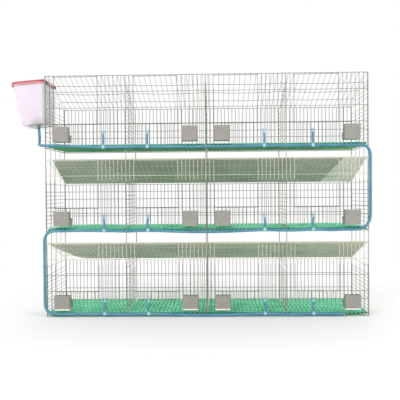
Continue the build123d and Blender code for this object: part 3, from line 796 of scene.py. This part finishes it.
for tier, floor in list(zip(tiers, floors))[:-1]:
    bm = bmesh.new()
    size = Matrix.Diagonal((board_length / 2, board_width / 2, 1, 1))
    bmesh.ops.create_grid(bm, x_segments=board_steps[0], y_segments=board_steps[1], size=1, matrix=size)
    for v in bm.verts:
        along = v.co.y + roof_run / 2
        ripple = ripple_height * (1 + sin(v.co.x / ripple_length)) * sin(pi * along / roof_run)
        near_end = max(0, 1 - (v.co.x + board_length / 2) / skew_reach)
        x = v.co.x + board_skew[tier] * near_end * (1 - along / roof_run)
        v.co = roof_point(floor, x, along, board_lift + ripple)
        if tier == "bottom":
            v.co.z += curl_height(x, along)
    bmesh.ops.solidify(bm, geom=bm.faces[:], thickness=-board_thickness)
    store(f"manure_sheet_{tier}", bm, board_finishes[tier], [f"manure_board_{tier}"])

# Feeders: folded sheet hoppers with a trough inside, rolled rims and two hanging tabs
feeder_width = 95.5
feeder_sheet = 1
feeder_top = 128
feeder_mouth = 50
feeder_toe = 38
trough_floor = 45
trough_lip = 60
trough_height = 82
feeder_throat = 62
hook_spread = 75
hook_width = 12
hopper_back = -2.5
hook_height, hook_reach, hook_tip = 102.3, 5.2, 98.5
rim_wire = 3
side_rim_share = 0.7


def folded_sheet(bm, profile, low_x, high_x):
    """A bent plate: a side-view line drawn out along X and given the sheet's thickness."""
    verts = [bm.verts.new((low_x, y, z)) for y, z in profile]
    edges = [bm.edges.new(pair) for pair in zip(verts, verts[1:])]
    grown = bmesh.ops.extrude_edge_only(bm, edges=edges)["geom"]
    new_verts = [g for g in grown if isinstance(g, bmesh.types.BMVert)]
    bmesh.ops.translate(bm, vec=(high_x - low_x, 0, 0), verts=new_verts)
    faces = [g for g in grown if isinstance(g, bmesh.types.BMFace)]
    bmesh.ops.recalc_face_normals(bm, faces=faces)
    bmesh.ops.solidify(bm, geom=faces, thickness=feeder_sheet)


def side_plate(bm, x, profile):
    """A flat plate of the sheet's thickness in side view."""
    face = bm.faces.new([bm.verts.new((x, y, z)) for y, z in profile])
    bmesh.ops.recalc_face_normals(bm, faces=[face])
    bmesh.ops.solidify(bm, geom=[face], thickness=feeder_sheet)


def feeder(bm, x, floor):
    """One feeder: hopper, trough, rims and hooks."""
    low_x, high_x = x - feeder_width / 2, x + feeder_width / 2

    def lay(outline):
        return [(front + y, floor + z) for y, z in outline]

    outline = lay([(-feeder_mouth, feeder_top), (-feeder_toe, feeder_bottom), (trough_floor, feeder_bottom),
                   (trough_lip, trough_height), (hopper_back, trough_height), (hopper_back, feeder_top)])
    folded_sheet(bm, outline[:4], low_x, high_x)
    folded_sheet(bm, lay([(hopper_back, feeder_throat), (hopper_back, feeder_top)]), low_x, high_x)
    for plate_x in (low_x, high_x):
        side_plate(bm, plate_x, outline)
    rim_y, rim_z = front - feeder_mouth + rim_wire / 2, floor + feeder_top
    wire(bm, (low_x, rim_y, rim_z), (high_x, rim_y, rim_z), rim_wire)
    lip_y, lip_z = front + trough_lip - rim_wire / 2, floor + trough_height
    wire(bm, (low_x, lip_y, lip_z), (high_x, lip_y, lip_z), rim_wire)
    for plate_x in (low_x + rim_wire / 2, high_x - rim_wire / 2):
        wire(bm, (plate_x, rim_y, rim_z), (plate_x, front + hopper_back, rim_z), rim_wire * side_rim_share)
    for shift in (-hook_spread / 2, hook_spread / 2):
        tab = lay([(hopper_back, hook_height), (hook_reach, hook_height), (hook_reach, hook_tip)])
        folded_sheet(bm, tab, x + shift - hook_width / 2, x + shift + hook_width / 2)


for tier, floor in zip(tiers, floors):
    bm = bmesh.new()
    for cell_left, centre in zip(cell_lefts, feeder_centres):
        feeder(bm, cell_left + centre, floor)
    store(f"feeder_hoppers_{tier}", bm, sheet_finish, [f"feeders_{tier}"],
          crease=30)

# Supply hose: one tube from the tank down and along each tier, a little slack between its ties
hose_r = 9
hose_y = -263
hose_heights = [10, 6, 3]
hose_turn = 1014
hose_end = 850
drinker_offsets = [362.5, 137.5, 362.5, 162.5]
drinker_xs = [cell_left + offset for cell_left, offset in zip(cell_lefts, drinker_offsets)]
outlet_inset, outlet_forward = 56, 54
outlet = tank_foot - tank_across * outlet_inset - Vector((0, outlet_forward, 0))
nut_height = 10
hose_fall = 105
hose_swing = 43
left_rise = 12
left_landing = -920
run_inset = 60
tee_half = 30
corner_reach = 140
wide_corner = 200
hose_zs = [floor + height for floor, height in zip(floors, hose_heights)]
hose_slack = [(0, -3, -7, -5, -2), (5, -4, -10, -5, -3), (6, 1, -2, -2, -2)]
middle_stretch = 2
dip_half = 110


def hose_at(x, z):
    """A point of the hose in front of the cage."""
    return (x, hose_y, z)


def hose_run(z, slack, backwards):
    """Points along one tier: level at each tee, with a small wave in the stretches between."""
    stops = [left + run_inset, *drinker_xs, -left - run_inset]
    points = []
    for number, (start, end) in enumerate(zip(stops, stops[1:])):
        if number:
            points += [hose_at(start - tee_half, z), hose_at(start + tee_half, z)]
        shifts = (-dip_half, dip_half) if number == middle_stretch else (0,)
        for shift in shifts:
            points.append(hose_at((start + end) / 2 + shift, z + slack[number]))
    return points[::-1] if backwards else points


low_z, middle_z, top_z = hose_zs
hose_points = [outlet - tank_up * nut_height, outlet - tank_up * (nut_height + hose_fall),
               hose_at(-post_x - hose_swing, top_z + left_rise), hose_at(left_landing, top_z + left_rise)]
hose_points += hose_run(top_z, hose_slack[2], False)
hose_points += [hose_at(hose_turn - corner_reach, top_z), hose_at(hose_turn, top_z),
                hose_at(hose_turn, top_z - corner_reach), hose_at(hose_turn, middle_z + wide_corner),
                hose_at(hose_turn, middle_z), hose_at(hose_turn - wide_corner, middle_z)]
hose_points += hose_run(middle_z, hose_slack[1], True)
hose_points += [hose_at(-hose_turn + corner_reach, middle_z), hose_at(-hose_turn, middle_z),
                hose_at(-hose_turn, middle_z - corner_reach), hose_at(-hose_turn, low_z + corner_reach),
                hose_at(-hose_turn, low_z), hose_at(-hose_turn + corner_reach, low_z)]
hose_points += hose_run(low_z, hose_slack[0], False)
hose_points.append(hose_at(hose_end, low_z))
hose_curve = new_tube("water_hose", hose_r, 3)
hose_curve.resolution_u = 10
add_spline(hose_curve, hose_points)
store_mesh("water_hose", hose_curve, hose_finish, ["supply_hose"])

# Ties round the hose
tie_offset = 2.5 * upright_pitch
drop_tie_lift = 10
tie_steps = 24
tie_xs = [x + tie_offset for x in cell_lefts] + [-left - tie_offset]
tie_curve = new_tube("hose_tie_loops", strap_r)
for floor, hose_z, slack in zip(floors, hose_zs, hose_slack):
    for number, x in enumerate(tie_xs):
        if floor > floors[0] or x < hose_end:
            rise = slack[middle_stretch] if number == middle_stretch else 0
            if floor == top_floor and number == 0:
                rise = left_rise
            loop = loop_points((x, hose_y, hose_z + rise), hose_r + strap_gap, (x, front_rail_y, floor),
                               mesh_wire / 2 + strap_gap, (1, 0, 0), tie_steps)
            add_spline(tie_curve, loop, "POLY", True)
for side, tier_number in ((1, 1), (-1, 0)):
    z = floors[tier_number] + front_height + drop_tie_lift
    loop = loop_points((side * hose_turn, hose_y, z), hose_r + strap_gap, (side * post_x, front, z),
                       post_wire / 2 + strap_gap, (0, 0, 1), tie_steps)
    add_spline(tie_curve, loop, "POLY", True)
store_mesh("hose_tie_loops", tie_curve, pale_finish, ["hose_ties"])

# Drinkers: tee, branch, holder and nipple at each place
tee_rise = 14
nipple_height = 92
branch_r = 7
branch_bow = {"bottom": 8, "middle": 3, "top": 2}
holder_front = -23
holder_r = 7.5
stub_drop = 6
branch_gap = 3.05
branch_straight = 12
nipple_front = -8
clip_half, clip_low, clip_high = 9, 98, 108
clip_front, clip_back = -4.5, -1.75
tab_shift, tab_half, tab_sheet = 6, 2.5, 2
tab_end, tab_top, tab_tip = 6.7, 103.8, 98.5
clip_edge, tab_edge = 0.8, 0.5
round_steps = 12
along_x = Matrix.Rotation(pi / 2, 4, "Y")
along_y = Matrix.Rotation(-pi / 2, 4, "X")
downwards = Matrix.Rotation(pi, 4, "X")
tee_outline = [(9.05, -9), (10.2, -9), (11, -8.2), (11, -6), (10.3, -5.2), (10.3, 5.2), (11, 6), (11, 8.2),
               (10.2, 9), (9.05, 9)]
boss_outline = [(0.01, 9), (7.5, 9), (7.5, 14), (4.95, 14), (4.95, 27), (4.4, 28), (0.01, 28)]
barrel_outline = [(0.01, 0), (6.5, 0), (7.5, 1), (7.5, 20), (6.8, 21), (5.05, 21)]
stub_outline = [(0.01, 0), (6.5, 0), (6.5, 4.4), (4.95, 4.4), (4.95, 17), (0.01, 17)]
nipple_outline = [(0.01, 0), (5, 0), (5, 24), (4.4, 26), (3.5, 26), (3.5, 32.2), (2.9, 33), (1.6, 33),
                  (1.6, 22)]

tee_bm, holder_bm, nipple_bm = bmesh.new(), bmesh.new(), bmesh.new()
branch_curve = new_tube("branch_tubes", branch_r, 2)
branch_curve.resolution_u = 6
for tier, floor, hose_z in zip(tiers, floors, hose_zs):
    for number, x in enumerate(drinker_xs):
        centre = Vector((x, hose_y, hose_z))
        lathe(tee_bm, tee_outline, Matrix.Translation(centre) @ along_x)
        lathe(tee_bm, boss_outline, Matrix.Translation(centre), round_steps)
        nipple_z = floor + nipple_height
        lathe(holder_bm, barrel_outline, Matrix.Translation((x, front + holder_front, nipple_z)) @ along_y)
        lathe(holder_bm, stub_outline, Matrix.Translation((x, hose_y, nipple_z - stub_drop)) @ downwards,
              round_steps)
        block(holder_bm, (x - clip_half, front + clip_front, floor + clip_low),
              (x + clip_half, front + clip_back, floor + clip_high), clip_edge)
        for shift in (-tab_shift, tab_shift):
            tab_left, tab_right = x + shift - tab_half, x + shift + tab_half
            block(holder_bm, (tab_left, front + clip_front, floor + tab_top - tab_sheet),
                  (tab_right, front + tab_end, floor + tab_top), tab_edge)
            block(holder_bm, (tab_left, front + tab_end - tab_sheet, floor + tab_tip),
                  (tab_right, front + tab_end, floor + tab_top), tab_edge)
        lathe(nipple_bm, nipple_outline, Matrix.Translation((x, front + nipple_front, nipple_z)) @ along_y)
        bow = branch_bow[tier] * (-1) ** number
        low, high = hose_z + tee_rise, nipple_z - holder_r - branch_gap
        add_spline(branch_curve, [hose_at(x, low), hose_at(x, low + branch_straight),
                                  (x + bow, hose_y - abs(bow) / 2, (low + high) / 2),
                                  hose_at(x, high - branch_straight), hose_at(x, high)])
store("drinker_tees", tee_bm, tee_finish, ["hose_tees"], crease=40)
store("nipple_holders", holder_bm, pale_finish, ["drinker_holders"], crease=40)
store("nipple_barrels", nipple_bm, steel_finish, ["nipple_bodies"], crease=40)
store_mesh("branch_tubes", branch_curve, hose_finish, ["branch_hoses"])

# Water tank and its lid, drawn upright at the foot's inner edge and then leaned into place
tank_mouth_depth = 270
tank_corner = 18
mouth_corner = 24
tank_wall = 3
tub_edge, cap_edge, field_edge, grip_edge = 7, 3, 2, 1.5
rim_width, rim_height = 4, 6
flare = tank_height * tan(tank_turn)
mouth_width = tank_width + 2 * flare
lid_overhang = 8.5
field_border, field_height = 24, 3
grip_reach, grip_bite, grip_drop, grip_length = 5, 1, 20, 45
grip_places = [-86, 114]
tank_lean = Matrix.Translation(tank_foot) @ Matrix.Rotation(-tank_turn, 4, "Y")


def lies_at(item, level):
    """Whether an edge or face lies flat at a height."""
    return all(abs(v.co.z - level) < merge_reach / 2 for v in item.verts)


def tapered_box(foot_size, head_size, low, high, corner, foot_edge, head_edge):
    """A box with rounded upright edges that widens from foot to head, with softened foot and head edges."""
    bm = bmesh.new()
    bmesh.ops.create_cube(bm, size=1)
    for v in bm.verts:
        width, depth = head_size if v.co.z > 0 else foot_size
        v.co = (v.co.x * width - tank_width / 2, v.co.y * depth, high if v.co.z > 0 else low)
    uprights = [e for e in bm.edges if e.verts[0].co.z != e.verts[1].co.z]
    round_edges(bm, uprights, corner, 6)
    for level, edge in ((low, foot_edge), (high, head_edge)):
        if edge:
            round_edges(bm, [e for e in bm.edges if lies_at(e, level)], edge, 3)
    return bm


def open_end(bm, level, wall):
    """Take off the flat face at one level and give the rest a wall inwards."""
    bmesh.ops.delete(bm, geom=[f for f in bm.faces if lies_at(f, level)], context="FACES")
    bmesh.ops.solidify(bm, geom=bm.faces[:], thickness=wall)


tub = tapered_box((tank_width, tank_depth), (mouth_width, tank_mouth_depth), 0, tank_height, tank_corner,
                  tub_edge, 0)
open_end(tub, tank_height, tank_wall)
rim_size = (mouth_width + 2 * rim_width, tank_mouth_depth + 2 * rim_width)
rim_corner = mouth_corner + rim_width
rim = tapered_box(rim_size, rim_size, tank_height - rim_height, tank_height, rim_corner, 0, 0)
open_end(rim, tank_height - rim_height, rim_width)
open_end(rim, tank_height, rim_width)
add_in(tub, rim)
bmesh.ops.transform(tub, matrix=tank_lean, verts=tub.verts)
store("tank_tub", tub, tank_finish, ["water_tank"], crease=35)

lid_size = (mouth_width + 2 * lid_overhang, tank_mouth_depth + 2 * lid_overhang)
lid_corner = mouth_corner + lid_overhang
cap = tapered_box(lid_size, lid_size, lid_base - lid_skirt, lid_base + lid_thickness, lid_corner, 0, cap_edge)
open_end(cap, lid_base - lid_skirt, lid_thickness)
field_size = (lid_size[0] - 2 * field_border, lid_size[1] - 2 * field_border)
field_top = lid_base + lid_thickness + field_height
add_in(cap, tapered_box(field_size, field_size, lid_base + lid_thickness / 2, field_top,
                        lid_corner - field_border, 0, field_edge))
bmesh.ops.transform(cap, matrix=tank_lean, verts=cap.verts)
store("lid_cap", cap, lid_finish, ["tank_lid"], crease=35, body="tank_lid")

clips = bmesh.new()
for side in (-1, 1):
    for place in grip_places:
        inner = -tank_width / 2 + side * (lid_size[0] / 2 - grip_bite)
        outer = -tank_width / 2 + side * (lid_size[0] / 2 + grip_reach)
        block(clips, (min(inner, outer), place - grip_length / 2, lid_base - grip_drop),
              (max(inner, outer), place + grip_length / 2, lid_base), grip_edge)
bmesh.ops.transform(clips, matrix=tank_lean, verts=clips.verts)
store("lid_clips", clips, clip_finish, crease=35, body="tank_lid")

# Finishes of the solids that stay
kept = {"tank_outlet": fitting_finish, "outlet_nut": fitting_finish, "hose_plug": fitting_finish,
        "tank_bracket": bracket_finish}
kept.update({f"nipple_pin_{tier}_{cell + 1}": steel_finish for tier in tiers for cell in range(cells)})
for node, finish in kept.items():
    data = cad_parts[node].data
    data.materials.clear()
    data.materials.append(finish)

# Floor, world and lamps
floor_reach = 30
shadow_reach = (1.7, 3.0)


def add_seen(tree):
    """1 for what the camera sees directly, in a reflection or through something clear, else 0."""
    rays = tree.nodes.new("ShaderNodeLightPath")
    seen = rays.outputs["Is Camera Ray"]
    for other in ("Is Glossy Ray", "Is Transmission Ray"):
        seen = add_math(tree, "MAXIMUM", seen, rays.outputs[other])
    return seen


def make_floor_finish():
    """Matt white that takes the shadow near the cage and is seen as plain white further out."""
    material, tree, shader = new_material("studio_floor")
    feed(tree, shader, {"Base Color": (0.97, 0.97, 0.97), "Roughness": 0.9, "Specular IOR Level": 0.1})
    glow = tree.nodes.new("ShaderNodeEmission")
    distance = add_vector_math(tree, "DISTANCE", object_place(tree), (0, 0, 0))
    fade = add_range(tree, distance, shadow_reach[0], shadow_reach[1], 0.0, 1.0)
    share = add_math(tree, "MULTIPLY", fade, add_seen(tree))
    blend = tree.nodes.new("ShaderNodeMixShader")
    feed(tree, blend, {"Fac": share, 1: shader.outputs["BSDF"], 2: glow.outputs["Emission"]})
    feed(tree, tree.nodes["Material Output"], {"Surface": blend.outputs["Shader"]})
    return material


bm = bmesh.new()
bmesh.ops.create_grid(bm, x_segments=1, y_segments=1, size=floor_reach)
floor_mesh = bpy.data.meshes.new("studio_floor")
bm.to_mesh(floor_mesh)
bm.free()
studio_floor = bpy.data.objects.new("studio_floor", floor_mesh)
bpy.context.scene.collection.objects.link(studio_floor)
floor_mesh.materials.append(make_floor_finish())

ambient_level = 0.84
world = bpy.data.worlds.new("studio")
bpy.context.scene.world = world
world.use_nodes = True
background = world.node_tree.nodes["Background"]
strength = add_range(world.node_tree, add_seen(world.node_tree), 0.0, 1.0, ambient_level, 1.0)
feed(world.node_tree, background, {"Color": (1, 1, 1), "Strength": strength})

lamp_size = 3.5
lamp_aim = Vector((0, 0, 0.7))


def add_lamp(name, place, power):
    """A square soft box turned towards the middle of the cage."""
    data = bpy.data.lights.new(name, "AREA")
    data.size = lamp_size
    data.energy = power
    lamp = bpy.data.objects.new(name, data)
    facing = (lamp_aim - Vector(place)).to_track_quat("-Z", "Y").to_matrix().to_4x4()
    lamp.matrix_world = Matrix.Translation(place) @ facing
    bpy.context.scene.collection.objects.link(lamp)


for name, place, power in (("key", (-3.0, -5.0, 4.5), 130), ("fill", (4.5, -3.0, 3.0), 60),
                           ("rim", (0.5, 4.5, 4.5), 60)):
    add_lamp(name, place, power)
